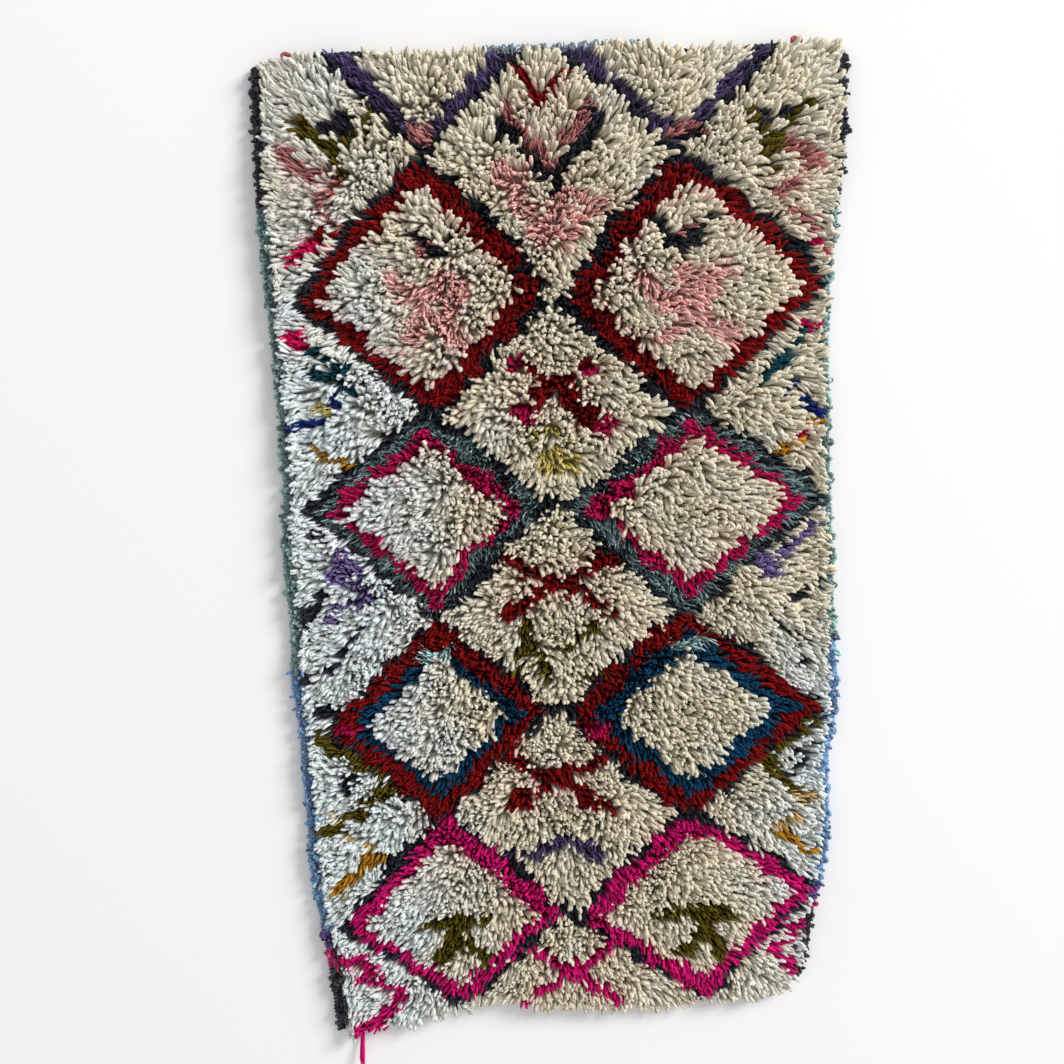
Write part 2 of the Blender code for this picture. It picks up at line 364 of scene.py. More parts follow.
YARNS = {
    "cream": Yarn((0.735, 0.675, 0.525), "cream_wool", 0.07, 3.3, 26, 0.0),
    "charcoal": Yarn((0.026, 0.029, 0.040), "charcoal_wool", 0.35, 2.4, 23, 0.6),
    "red": Yarn((0.22, 0.001, 0.002), "red_wool", 0.18, 3.0, 26, 0.5),
    "crimson": Yarn((0.46, 0.003, 0.080), "magenta_wool", 0.15, 3.1, 26, 0.3),
    "magenta": Yarn((0.60, 0.006, 0.165), "magenta_wool", 0.15, 3.0, 26, 0.3),
    "hot_pink": Yarn((0.72, 0.003, 0.11), "magenta_wool", 0.12, 3.0, 27, 0.3),
    "grey_teal": Yarn((0.150, 0.222, 0.225), "grey_teal_wool", 0.55, 2.0, 25, 3.2),
    "petrol": Yarn((0.002, 0.052, 0.120), "petrol_wool", 0.12, 3.0, 25, 0.1),
    "turquoise": Yarn((0.45, 0.64, 0.66), "turquoise_wool", 0.20, 2.2, 28, 4.0),
    "olive": Yarn((0.105, 0.080, 0.004), "olive_wool", 0.22, 2.8, 26, 0.5),
    "violet": Yarn((0.085, 0.062, 0.150), "violet_wool", 0.32, 2.3, 27, 3.0),
    "lilac": Yarn((0.21, 0.15, 0.36), "violet_wool", 0.22, 2.8, 27, 1.2),
    "rose": Yarn((0.52, 0.21, 0.20), "rose_wool", 0.16, 2.5, 29, 2.0),
    "pink": Yarn((0.86, 0.50, 0.46), "rose_wool", 0.10, 3.0, 30, 1.6),
    "yellow": Yarn((0.62, 0.52, 0.17), "yellow_wool", 0.15, 2.8, 27, 0.6),
    "peach": Yarn((0.70, 0.48, 0.22), "yellow_wool", 0.15, 2.0, 28, 1.0),
    "mustard": Yarn((0.50, 0.24, 0.014), "mustard_wool", 0.18, 2.6, 28, 1.0),
    "navy": Yarn((0.005, 0.024, 0.17), "navy_wool", 0.15, 3.0, 27, 0.1),
    "teal": Yarn((0.006, 0.07, 0.095), "teal_wool", 0.20, 2.8, 26, 0.3),
}
WOOL_SPECULAR = 0.12
SHEEN_ROUGHNESS = 0.5


class Shade:
    """One output of a material's nodes. Sums on it add Math nodes, and add() makes any node."""

    def __init__(self, tree, socket=None):
        self.tree = tree
        self.socket = socket

    def add(self, kind, settings=None, inputs=None, output=0):
        node = self.tree.nodes.new(kind)
        for name, value in (settings or {}).items():
            setattr(node, name, value)
        for name, value in (inputs or {}).items():
            if isinstance(value, Shade):
                self.tree.links.new(value.socket, node.inputs[name])
            else:
                node.inputs[name].default_value = value
        return Shade(self.tree, node.outputs[output])

    def maths(self, operation, *values):
        return self.add("ShaderNodeMath", {"operation": operation}, dict(enumerate(values)))

    def __add__(self, other):
        return self.maths("ADD", self, other)

    def __mul__(self, other):
        return self.maths("MULTIPLY", self, other)

    __radd__ = __add__
    __rmul__ = __mul__

    def sine(self):
        return self.maths("SINE", self)

    def parts(self):
        """The first two numbers of a vector."""
        first = self.add("ShaderNodeSeparateXYZ", inputs={0: self})
        return first, Shade(self.tree, first.socket.node.outputs[1])

    def between(self, low, high, out_low=0.0, out_high=1.0):
        """The value moved from one range to another, eased and clamped at both ends."""
        inputs = {"Value": self, 1: low, 2: high, 3: out_low, 4: out_high}
        return self.add("ShaderNodeMapRange", {"interpolation_type": "SMOOTHSTEP"}, inputs)

    def tint(self, grey):
        """The colour darkened or lightened by a value."""
        settings = {"data_type": "RGBA", "blend_type": "MULTIPLY", "clamp_factor": False}
        return self.add("ShaderNodeMix", settings, {0: 1.0, 6: self, 7: grey}, output=2)


def start_material(name, roughness, sheen):
    """A new material with a matte wool surface, and a Shade from which its nodes are made."""
    material = bpy.data.materials.new(name)
    material.use_nodes = True
    surface = material.node_tree.nodes["Principled BSDF"]
    surface.inputs["Roughness"].default_value = roughness
    surface.inputs["Specular IOR Level"].default_value = WOOL_SPECULAR
    surface.inputs["Sheen Weight"].default_value = sheen
    surface.inputs["Sheen Roughness"].default_value = SHEEN_ROUGHNESS
    return material, surface, Shade(material.node_tree)


def connect(shade, surface, name):
    shade.tree.links.new(shade.socket, surface.inputs[name])


def noise(start, scale, detail):
    """Uneven values through the piece itself, with about this many bumps to a metre."""
    place = start.add("ShaderNodeTexCoord", output=3)
    return start.add("ShaderNodeTexNoise", inputs={"Vector": place, "Scale": scale, "Detail": detail})


def finish_wool(start, surface, shade, height, strength, distance):
    """Gives the surface the yarn's own colour, shaded, and a relief."""
    yarn = start.add("ShaderNodeAttribute", {"attribute_name": "yarn_colour"})
    connect(yarn.tint(shade), surface, "Base Color")
    relief = {"Height": height, "Strength": strength, "Distance": distance}
    connect(start.add("ShaderNodeBump", inputs=relief), surface, "Normal")


def make_ground_finish():
    """Plain weave on both faces, with the rows of knot backs in their own colours underneath."""
    material, surface, start = start_material("ground_weave", 0.9, 0.2)
    across, along = start.add("ShaderNodeUVMap", {"uv_map": "knots"}).parts()
    ribs = (along * (2 * math.pi)).sine() * 0.5 + (across * (4 * math.pi)).sine() * 0.35
    fibre = noise(start, 700.0, 3.0)
    shade = (ribs * 0.25 + 0.8) * (fibre * 0.5 + 0.75)
    finish_wool(start, surface, shade, ribs + fibre * 0.6, 0.6, 0.0008)
    return material


def put_in_scene(name, data):
    thing = bpy.data.objects.new(name, data)
    bpy.context.scene.collection.objects.link(thing)
    return thing


def mesh_piece(name, points, loops, totals, material, colours, maps, corner_colours=False):
    """A piece made from joined arrays of points and faces, with its colours and its named UV maps."""
    mesh = bpy.data.meshes.new(name)
    mesh.vertices.add(len(points))
    mesh.vertices.foreach_set("co", np.ascontiguousarray(points, np.float32).ravel())
    mesh.loops.add(len(loops))
    mesh.loops.foreach_set("vertex_index", np.ascontiguousarray(loops, np.int32))
    mesh.polygons.add(len(totals))
    starts = np.concatenate(([0], np.cumsum(totals)[:-1]))
    mesh.polygons.foreach_set("loop_start", starts.astype(np.int32))
    mesh.polygons.foreach_set("use_smooth", np.ones(len(totals), bool))
    mesh.update(calc_edges=True)
    for map_name, places in maps.items():
        layer = mesh.uv_layers.new(name=map_name)
        layer.data.foreach_set("uv", np.ascontiguousarray(places, np.float32).ravel())
    domain = "CORNER" if corner_colours else "POINT"
    layer = mesh.color_attributes.new("yarn_colour", "FLOAT_COLOR", domain)
    full = np.concatenate((colours, np.ones((len(colours), 1))), axis=1)
    layer.data.foreach_set("color", full.astype(np.float32).ravel())
    mesh.materials.append(material)
    return put_in_scene(name, mesh)


dice = np.random.default_rng(634)
# How far the outermost knots and tips stay inside the outline: left, right, bound end, far end
ROOT_INSET = (0.022, 0.020, 0.014, 0.014)
PILE_REACH = (0.014, 0.007, -0.010, -0.006)
# How much more of the left selvedge shows towards the far end, from where to where
BARE_CORNER = 0.015
BARE_FROM, BARE_TO = 0.52, 0.60
RAGGED_EDGE = 0.006
RAGGED_SIZE = 0.03
TILT_MOST = math.radians(86)
TILT_EASE = 1.05
TILT_MEAN = 0.74
# Lengths of yarn by which the drawing and the room at the edges are worked out
CHART_REACH = 0.026
USUAL_REACH = 0.030
UNEVEN_ACROSS = 0.12
UNEVEN_ALONG = 0.10
TIP_STRAYS = 0.0012
EVENING_PASSES = 3


def ease(value, start, end):
    t = np.clip((value - start) / (end - start), 0, 1)
    return t * t * (3 - 2 * t)


def knot_places():
    """Where every knot is tied, row by row, with the unevenness of hand work."""
    rows = (np.arange(KNOT_ROWS) + 0.5) / KNOT_ROWS
    columns = (np.arange(KNOTS_ACROSS) + 0.5) / KNOTS_ACROSS
    along, across = np.meshgrid(rows, columns, indexing="ij")
    across = across + (np.arange(KNOT_ROWS) % 2 - 0.5)[:, None] * 0.5 / KNOTS_ACROSS
    across = across + dice.normal(0, UNEVEN_ACROSS, across.shape) / KNOTS_ACROSS
    along = along + dice.normal(0, UNEVEN_ALONG, along.shape) / KNOT_ROWS
    return plan_point(np.clip(across, 0, 1).ravel(), np.clip(along, 0, 1).ravel(), ROOT_INSET)


def smooth_rows(values):
    """Values of all knots, evened out over the neighbours of each."""
    grid = values.reshape(KNOT_ROWS, KNOTS_ACROSS)
    for _ in range(EVENING_PASSES):
        padded = np.pad(grid, 1, mode="edge")
        grid = (padded[:-2, 1:-1] + padded[2:, 1:-1] + padded[1:-1, :-2] + padded[1:-1, 2:] + grid) / 5
    return grid.ravel()


# How far from an outline the pile falls towards it, in mm: where the pull grows, and where it fades
PULL_GROWS = (0, 18)
PULL_FADES = (28, 75)
SLOPE_STEP = 2.0
TINY = 1e-6


def outline_pull(x, y):
    """How strongly and which way the pile falls towards the nearest dark outline, which lies lower."""
    x, y = x / MM, y / MM
    best = np.full(x.shape, np.inf)
    pull_x, pull_y = np.zeros_like(x), np.zeros_like(x)
    for lozenge in LOZENGES:
        depth = lozenge_depth(lozenge, x, y)
        slope_x = lozenge_depth(lozenge, x + SLOPE_STEP, y) - depth
        slope_y = lozenge_depth(lozenge, x, y + SLOPE_STEP) - depth
        steep = np.maximum(np.hypot(slope_x, slope_y), TINY)
        nearer = np.abs(depth) < best
        pull_x = np.where(nearer, -np.sign(depth) * slope_x / steep, pull_x)
        pull_y = np.where(nearer, -np.sign(depth) * slope_y / steep, pull_y)
        best = np.where(nearer, np.abs(depth), best)
    strength = ease(best, *PULL_GROWS) * (1 - ease(best, *PULL_FADES))
    return smooth_rows(pull_x * strength), smooth_rows(pull_y * strength)


# The zones beside the edges in which the pile leans outward more, from the outline inward
SIDE_ZONE = (0.035, 0.085)
END_ZONE = (0.025, 0.080)
# Shares of the lean, about 1 for pile that lies nearly flat
SIDEWAYS = 0.74
SIDEWAYS_MIDDLE = -0.02
SIDEWAYS_FULL_AT = 0.30
SIDEWAYS_BY_EDGE = 0.42
UP_NEAR_TOP = 0.66
DOWN_ALL_OVER = 0.12
DOWN_NEAR_FOOT = 0.22
UP_AT_TOP = 0.40
DOWN_AT_FOOT = 0.15
TO_OUTLINE = 0.46
TUFTS = ((0.24, 0.12), (0.28, 0.05))
UPRIGHT_SHARE = 0.22


def lean_of_pile(x, y):
    """How far the pile leans across and along, about 1 where it lies nearly flat."""
    by_side = 1 - ease(np.minimum(x - left_edge(y), right_edge(y) - x), *SIDE_ZONE)
    by_top = 1 - ease(bound_end(x) - y, *END_ZONE)
    by_foot = 1 - ease(y - far_end(x), *END_ZONE)
    pull_x, pull_y = outline_pull(x, y)
    pull_x, pull_y = pull_x * (1 - by_side), pull_y * (1 - np.maximum(by_top, by_foot))
    sideways = np.clip((x - SIDEWAYS_MIDDLE) / SIDEWAYS_FULL_AT, -1, 1)
    lean_x = SIDEWAYS * sideways + SIDEWAYS_BY_EDGE * np.sign(x) * by_side
    lean_y = UP_NEAR_TOP * ease(y, 0.36, 0.66) - DOWN_ALL_OVER - DOWN_NEAR_FOOT * ease(-y, 0.30, 0.68)
    lean_y = lean_y + UP_AT_TOP * by_top - DOWN_AT_FOOT * by_foot
    lean_x, lean_y = lean_x + TO_OUTLINE * pull_x, lean_y + TO_OUTLINE * pull_y
    for seed, (share, size) in zip((21, 23), TUFTS):
        lean_x = lean_x + share * wander(x, y, size, seed)
        lean_y = lean_y + share * wander(x, y, size, seed + 1)
    shorter = 1 - UPRIGHT_SHARE + UPRIGHT_SHARE * ease(y, -0.25, 0.15)
    return lean_x * shorter, lean_y * shorter


def travel_of(lean_x, lean_y, length):
    """How far across and along the tips of strands end from their knots."""
    lean = np.maximum(np.hypot(lean_x, lean_y), TINY)
    travel = length * np.sin(TILT_MOST * np.tanh(TILT_EASE * lean) * TILT_MEAN)
    return travel * lean_x / lean, travel * lean_y / lean


LEAST_LEAN = 0.1


def keep_inside(x, y, lean_x, lean_y, length):
    """Leans eased near the edges, so that the tips end at the pile's own outline."""
    over_x, over_y = travel_of(lean_x, lean_y, length)
    ragged = RAGGED_EDGE * wander(x, y, RAGGED_SIZE, 51)
    bare = BARE_CORNER * ease(-y, BARE_FROM, BARE_TO)
    room_left = x - (left_edge(y) + PILE_REACH[0] + ragged + bare)
    room_right = right_edge(y) - PILE_REACH[1] + ragged - x
    room_up = bound_end(x) - PILE_REACH[2] - y
    room_down = y - (far_end(x) + PILE_REACH[3])
    room_x = np.where(over_x < 0, room_left, room_right)
    room_y = np.where(over_y < 0, room_down, room_up)
    share_x = np.clip(room_x / np.maximum(np.abs(over_x), TINY), LEAST_LEAN, 1)
    share_y = np.clip(room_y / np.maximum(np.abs(over_y), TINY), LEAST_LEAN, 1)
    return lean_x * share_x, lean_y * share_y


knot_x, knot_y = knot_places()
base_x, base_y = keep_inside(knot_x, knot_y, *lean_of_pile(knot_x, knot_y), USUAL_REACH)
tip_x, tip_y = travel_of(base_x, base_y, CHART_REACH)
off_x, off_y = (dice.normal(0, TIP_STRAYS, knot_x.shape) for _ in range(2))
knot_yarn = chart_yarns(knot_x + tip_x + off_x, knot_y + tip_y + off_y)


def spread_of_tips(tip_x, tip_y):
    """How much further apart the tips of neighbouring knots are than their roots."""
    x = (knot_x + tip_x).reshape(KNOT_ROWS, KNOTS_ACROSS)
    y = (knot_y + tip_y).reshape(KNOT_ROWS, KNOTS_ACROSS)
    across_x, along_x = np.gradient(x, axis=1), np.gradient(x, axis=0)
    across_y, along_y = np.gradient(y, axis=1), np.gradient(y, axis=0)
    area = smooth_rows(across_x * along_y - along_x * across_y)
    return area / np.median(area)


tip_spread = spread_of_tips(tip_x, tip_y)

# The ground's face shows only in the gaps of the pile, and its colours are dimmed there to this share:
# painted shade.
GROUND_TOP_PAINTED_SHADE = 0.8
GROUND_RIM = (0.42, 0.38, 0.30)
BACK_SHARE = 0.8


def make_ground():
    """The woven slab: a grid of knots on its back, the same grid on its face, and a rim between them."""
    rows, columns = np.linspace(0, 1, KNOT_ROWS + 1), np.linspace(0, 1, KNOTS_ACROSS + 1)
    along, across = np.meshgrid(rows, columns, indexing="ij")
    x, y = plan_point(across, along, FOOT_INSET)
    count = x.size
    number = np.arange(count).reshape(x.shape)
    corners = (number[:-1, :-1], number[:-1, 1:], number[1:, 1:], number[1:, :-1])
    face = np.stack(corners, axis=-1).reshape(-1, 4)
    ring = np.concatenate((number[0, :-1], number[:-1, -1], number[-1, :0:-1], number[:0:-1, 0]))
    after = np.roll(ring, -1)
    rim = np.stack((ring, after, after + count, ring + count), axis=-1)
    back = face[:, ::-1]
    faces = np.concatenate((back, face + count, rim))
    plan = np.stack((x.ravel(), y.ravel()), axis=-1)
    low = np.concatenate((plan, np.zeros((count, 1))), axis=1)
    high = np.concatenate((plan, np.full((count, 1), GROUND_THICKNESS)), axis=1)

    yarn_tones = np.array([YARNS[yarn].colour for yarn in knot_yarn])
    rim_tones = np.tile(GROUND_RIM, (len(rim), 1))
    # The face's tones are dimmed by painted shade, as it lies deep in the pile.
    tones_of_faces = np.concatenate((yarn_tones * BACK_SHARE, yarn_tones * GROUND_TOP_PAINTED_SHADE, rim_tones))
    grid = np.stack((across.ravel() * KNOTS_ACROSS, along.ravel() * KNOT_ROWS), axis=-1)
    knots = np.concatenate((grid, grid))[faces.ravel()]
    piece = mesh_piece(
        "ground", np.concatenate((low, high)), faces.ravel(), np.full(len(faces), 4), make_ground_finish(),
        np.repeat(tones_of_faces, 4, axis=0), {"knots": knots}, corner_colours=True,
    )
    edge = plan[ring]
    turned = np.roll(edge, -1, axis=0)
    area = 0.5 * np.abs(np.sum(edge[:, 0] * turned[:, 1] - turned[:, 0] * edge[:, 1]))
    flat = (float(np.ptp(x)), float(np.ptp(y)))
    return piece, flat, float(area)


ground, ground_flat, ground_area = make_ground()
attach(ground, "root")
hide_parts("rug")

# The pile is knotted in rows between the wefts, and the cut yarns of each knot stand up. Cream is a thick
# hand-spun single with round ends, and the dyed yarns are softer, so their ends felt together.
KNOT_ENDS = 3
ROOT_HEIGHT = 0.0025
PATH_STEPS = 12
LOWEST_CENTRE = 0.0035
HIGHEST_TIP = 0.035
LEAST_LENGTH = 0.5
CURLS_FROM = 0.3
WAVES_PER_END = 7.0


def strand_shape(sides, shares):
    """Faces and local map of one yarn: tube rings, closed to a point at the last place."""
    loops, totals, spots = [], [], []
    for r, (low, high) in enumerate(zip(shares[:-2], shares[1:-1])):
        for s in range(sides):
            after = (s + 1) % sides
            loops += [r * sides + s, r * sides + after, (r + 1) * sides + after, (r + 1) * sides + s]
            spots += [(s / sides, low), ((s + 1) / sides, low), ((s + 1) / sides, high), (s / sides, high)]
            totals.append(4)
    last = (len(shares) - 2) * sides
    for s in range(sides):
        loops += [last + s, last + (s + 1) % sides, last + sides]
        spots += [(s / sides, shares[-2]), ((s + 1) / sides, shares[-2]), ((s + 0.5) / sides, shares[-1])]
        totals.append(3)
    return np.array(loops), np.array(totals), np.array(spots)


def to_unit(arrows):
    return arrows / np.maximum(np.linalg.norm(arrows, axis=2, keepdims=True), TINY)


def wool_along(paths, widths, side_way, colour, sides, shares):
    """Round yarns along many paths at once, with a width at each point but the last, which is the tip."""
    count = len(paths)
    ahead = to_unit(np.gradient(paths, axis=1))
    flat = to_unit(np.cross(ahead, side_way))
    rise = np.cross(ahead, flat)
    angle = 2 * math.pi * np.arange(sides) / sides
    around = flat[:, :-1, None] * np.cos(angle)[:, None]
    around = around + rise[:, :-1, None] * np.sin(angle)[:, None]
    tube = paths[:, :-1, None] + around * widths[:, :, None, None]
    points = np.concatenate((tube.reshape(count, -1, 3), paths[:, -1:]), axis=1)
    loops, totals, spots = strand_shape(sides, shares)
    if colour.ndim == 2:
        colour = np.repeat(colour[:, None], points.shape[1], axis=1)
    return {"points": points, "loops": loops, "totals": totals, "spots": spots, "colours": colour}


def strands(root, lean_x, lean_y, length, girth, colour, sides, rings, curl, wave, stiff=0.45):
    """Many like strands: each leaves its knot at part of its lean, bends over to all of it, and curls."""
    count = len(root)
    tilt_end = TILT_MOST * np.tanh(TILT_EASE * np.hypot(lean_x, lean_y))
    heading = np.arctan2(lean_y, lean_x)
    rise = np.cos(tilt_end * TILT_MEAN) * length
    length = length * np.clip((HIGHEST_TIP - ROOT_HEIGHT) / rise, LEAST_LENGTH, 1)
    phase = dice.uniform(0, 2 * math.pi, count)[:, None]
    t = (np.arange(PATH_STEPS)[None, :] + 0.5) / PATH_STEPS
    tilt = tilt_end[:, None] * (stiff + (1 - stiff) * t)
    turn = heading[:, None] + curl * (t - CURLS_FROM) + wave * np.sin(WAVES_PER_END * t + phase)
    moves = np.stack((np.sin(tilt) * np.cos(turn), np.sin(tilt) * np.sin(turn), np.cos(tilt)), axis=-1)
    moves = moves * (length / PATH_STEPS)[:, None, None]
    path = np.concatenate((np.zeros((count, 1, 3)), np.cumsum(moves, axis=1)), axis=1)
    shares = np.array([ring[0] for ring in rings] + [1.0])
    below = np.minimum((shares * PATH_STEPS).astype(int), PATH_STEPS - 1)
    part = (shares * PATH_STEPS - below)[None, :, None]
    centre = root[:, None, :] + path[:, below] * (1 - part) + path[:, below + 1] * part
    centre[:, 1:, 2] = np.maximum(centre[:, 1:, 2], LOWEST_CENTRE)
    side_way = np.stack((-np.sin(heading), np.cos(heading), np.zeros(count)), axis=-1)[:, None]
    widths = girth[:, None] * np.array([ring[1] for ring in rings])[None, :]
    return wool_along(centre, widths, side_way, colour, sides, shares)


CELL_MARGIN = 0.08


def join_wool(name, groups, material, own_cells=True):
    """One piece from several groups of yarns, each yarn with its own cell in the map of the whole piece."""
    total = sum(len(group["points"]) for group in groups)
    cells = math.ceil(math.sqrt(total))
    points, loops, totals, colours, local, cell_map = [], [], [], [], [], []
    first_point, first_strand = 0, 0
    for group in groups:
        count, size = group["points"].shape[:2]
        starts = first_point + np.arange(count)[:, None] * size
        loops.append((group["loops"][None, :] + starts).ravel())
        totals.append(np.tile(group["totals"], count))
        points.append(group["points"].reshape(-1, 3))
        colours.append(group["colours"].reshape(-1, 3))
        spots = np.tile(group["spots"], (count, 1, 1))
        number = first_strand + np.arange(count)
        corner = np.stack((number % cells, number // cells), axis=-1)[:, None, :]
        local.append(spots.reshape(-1, 2))
        inside = corner + CELL_MARGIN + (1 - 2 * CELL_MARGIN) * spots
        cell_map.append((inside / cells).reshape(-1, 2))
        first_point += count * size
        first_strand += count
    maps = {"strand": np.concatenate(local)}
    if own_cells:
        maps["OFBake"] = np.concatenate(cell_map)
    piece = mesh_piece(
        name, np.concatenate(points), np.concatenate(loops), np.concatenate(totals), material,
        np.concatenate(colours), maps,
    )
    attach(piece, "root")
    return piece


def make_yarn_finish(
    name, roughness, sheen, plies, turns, fibres, root_shade=1.0, blotches=0.3, blotch_scale=60.0,
    ply_shade=0.05, ply_light=1.0, ply_relief=0.35, relief=0.5,
):
    """Spun wool with slanting plies and fine fibres over them, darkened towards the knot and in the grooves
    between the plies: painted shade.
    """
    material, surface, start = start_material(name, roughness, sheen)
    around, along = start.add("ShaderNodeUVMap", {"uv_map": "strand"}).parts()
    twist = ((around * plies + along * turns) * (2 * math.pi)).sine()
    fibre, blotch = noise(start, 900.0, 4.0), noise(start, blotch_scale, 2.0)
    # Painted shade: darker towards the knot by root_shade, and in the grooves between the plies by
    # ply_shade. The fibres and blotches are the wool's own uneven tone.
    shade = along.between(0.05, 0.7, root_shade, 1.0) * (fibre * fibres + (1 - fibres / 2))
    shade = shade * (blotch * blotches + (1 - blotches / 2)) * (twist * ply_shade + ply_light)
    finish_wool(start, surface, shade, twist * ply_relief + fibre * 0.9, relief, 0.0009)
    return material


CREAM_RINGS = ((0.0, 0.85), (0.45, 1.0), (0.80, 1.0), (0.955, 0.68))
DYED_RINGS = ((0.0, 0.85), (0.55, 1.0), (0.92, 0.62))
FIBRE_RINGS = ((0.0, 1.0), (0.35, 1.0), (0.7, 0.8))
CREAM_PIECES = 3
COOL_CREAM = np.array((0.73, 0.79, 0.79))
PINK_STAIN = np.array((0.80, 0.42, 0.40))
MOST_STAIN = 0.5
# How the ends of one knot stand apart, and how far each strays from its place
END_APART = 0.0029
END_STAGGER = 0.8
END_FAN = 0.06
END_STRAYS = (0.0006, 0.0013)
CREAM_SPLAY, DYED_SPLAY, STRAY_SPLAY = 0.17, 0.10, 0.35
# How lengths and girths vary: the spread, and the least and most share of the usual
CREAM_LENGTHS, CREAM_GIRTHS = (0.12, 0.7, 1.3), (0.12, 0.7, 1.25)
DYED_LENGTHS, DYED_GIRTHS = (0.12, 0.6, 1.3), (0.18, 0.6, 1.4)
STRAY_LENGTHS, STRAY_GIRTHS = (0.18, 0.6, 1.4), (0.25, 0.5, 1.6)
CREAM_WAVE, DYED_WAVE, STRAY_WAVE = 0.25, 0.3, 0.9
CREAM_CURL, CURL_SIZE, CURL_STRAYS = 0.9, 0.05, 0.2
DYED_CURL, STRAY_CURL = 0.5, 1.6
LONGER_AT_TOP = 0.16
STRAY_LONGER_MM = 3
STRAY_GIRTH_MM = 0.5
STRAY_ROOTS = 0.0025
STRAY_LIGHTER = 1.6
STRAY_PALE = 0.015

# How much of the pile round each knot is red or pink
REDS = ["red", "crimson", "magenta", "hot_pink", "rose", "pink"]
red_near = smooth_rows(np.isin(knot_yarn, REDS).astype(float))


def tones(colour, count, spread):
    bright = np.exp(dice.normal(0, spread, count))
    return np.clip(np.array(colour)[None, :] * bright[:, None], 0, 1)


def varied(count, spread, least, most):
    return np.clip(dice.normal(1.0, spread, count), least, most)


def ends_of(chosen, ends, apart, lean_spread):
    """Place and lean of each yarn end of the chosen knots, side by side and splayed a little."""
    knots = np.repeat(chosen, ends)
    count = len(knots)
    side = (np.arange(count) % ends) - (ends - 1) / 2
    x = knot_x[knots] + side * apart + dice.normal(0, END_STRAYS[0], count)
    y = knot_y[knots] + (np.abs(side) - 0.5) * apart * END_STAGGER + dice.normal(0, END_STRAYS[1], count)
    lean_x = base_x[knots] + side * END_FAN + dice.normal(0, lean_spread, count)
    lean_y = base_y[knots] + dice.normal(0, lean_spread, count)
    root = np.stack((x, y, np.full(count, ROOT_HEIGHT)), axis=-1)
    return knots, root, lean_x, lean_y


def cream_group(chosen):
    """Finger-like cream ends: cooler and paler on the left and lower right, partly their own tone and partly
    painted cool light; pinkish beside the red bands.
    """
    wool = YARNS["cream"]
    knots, root, lean_x, lean_y = ends_of(chosen, KNOT_ENDS, END_APART, CREAM_SPLAY)
    x, y = root[:, 0], root[:, 1]
    count = len(knots)
    longer = 1 + LONGER_AT_TOP * ease(y, -0.20, 0.30)
    size = wool.length_mm * MM * longer * varied(count, *CREAM_LENGTHS)
    lean_x, lean_y = keep_inside(x, y, lean_x, lean_y, size)
    width = wool.girth_mm * MM * varied(count, *CREAM_GIRTHS)
    width = width * longer ** 0.5 * np.clip(tip_spread[knots], 0.85, 1.7) ** 0.5
    # The cooler, paler cream on the left and lower right is partly the yarn's own tone and partly painted
    # cool light.
    cool_left = ease(-x, 0.05, 0.33) * ease(-y, -0.60, -0.10)
    cool_right = ease(x, 0.22, 0.38) * ease(-y, 0.0, 0.2)
    cool = np.clip(cool_left + cool_right, 0, 1)
    cool = np.clip(cool + 0.45 * ease(-x, 0.15, 0.34) + 0.2 * wander(x, y, 0.1, 31), 0, 1)[:, None]
    stain = np.clip(red_near[knots] * dice.uniform(-0.3, 1.1, count), 0, MOST_STAIN)[:, None]
    colour = np.array(wool.colour) * (1 - cool) + COOL_CREAM * cool
    colour = colour * (1 - stain) + PINK_STAIN * stain
    colour = np.clip(colour * np.exp(dice.normal(0, wool.spread, count))[:, None], 0, 1)
    curl = (CREAM_CURL * wander(x, y, CURL_SIZE, 41) + dice.normal(0, CURL_STRAYS, count))[:, None]
    return strands(root, lean_x, lean_y, size, width, colour, 3, CREAM_RINGS, curl, CREAM_WAVE)


def dyed_group(yarn, chosen):
    """The softer ends of the knots of one dyed yarn."""
    wool = YARNS[yarn]
    knots, root, lean_x, lean_y = ends_of(chosen, KNOT_ENDS, END_APART, DYED_SPLAY)
    count = len(knots)
    size = wool.length_mm * MM * varied(count, *DYED_LENGTHS)
    lean_x, lean_y = keep_inside(root[:, 0], root[:, 1], lean_x, lean_y, size)
    width = wool.girth_mm * MM * varied(count, *DYED_GIRTHS)
    curl = dice.normal(0, DYED_CURL, count)[:, None]
    colour = tones(wool.colour, count, wool.spread)
    return strands(root, lean_x, lean_y, size, width, colour, 3, DYED_RINGS, curl, DYED_WAVE)


def stray_group(yarn, chosen):
    """Thin stray fibres that stand out of a knot and crinkle."""
    wool = YARNS[yarn]
    chosen = dice.choice(chosen, int(len(chosen) * wool.strays_per_knot))
    knots, root, lean_x, lean_y = ends_of(chosen, 1, 0.0, STRAY_SPLAY)
    count = len(knots)
    root[:, :2] += dice.normal(0, STRAY_ROOTS, (count, 2))
    size = (wool.length_mm + STRAY_LONGER_MM) * MM * varied(count, *STRAY_LENGTHS)
    lean_x, lean_y = keep_inside(root[:, 0], root[:, 1], lean_x, lean_y, size)
    width = STRAY_GIRTH_MM * MM * varied(count, *STRAY_GIRTHS)
    curl = dice.normal(0, STRAY_CURL, count)[:, None]
    light = tones(np.array(wool.colour) * STRAY_LIGHTER + STRAY_PALE, count, wool.spread)
    return strands(root, lean_x, lean_y, size, width, light, 3, FIBRE_RINGS, curl, STRAY_WAVE)


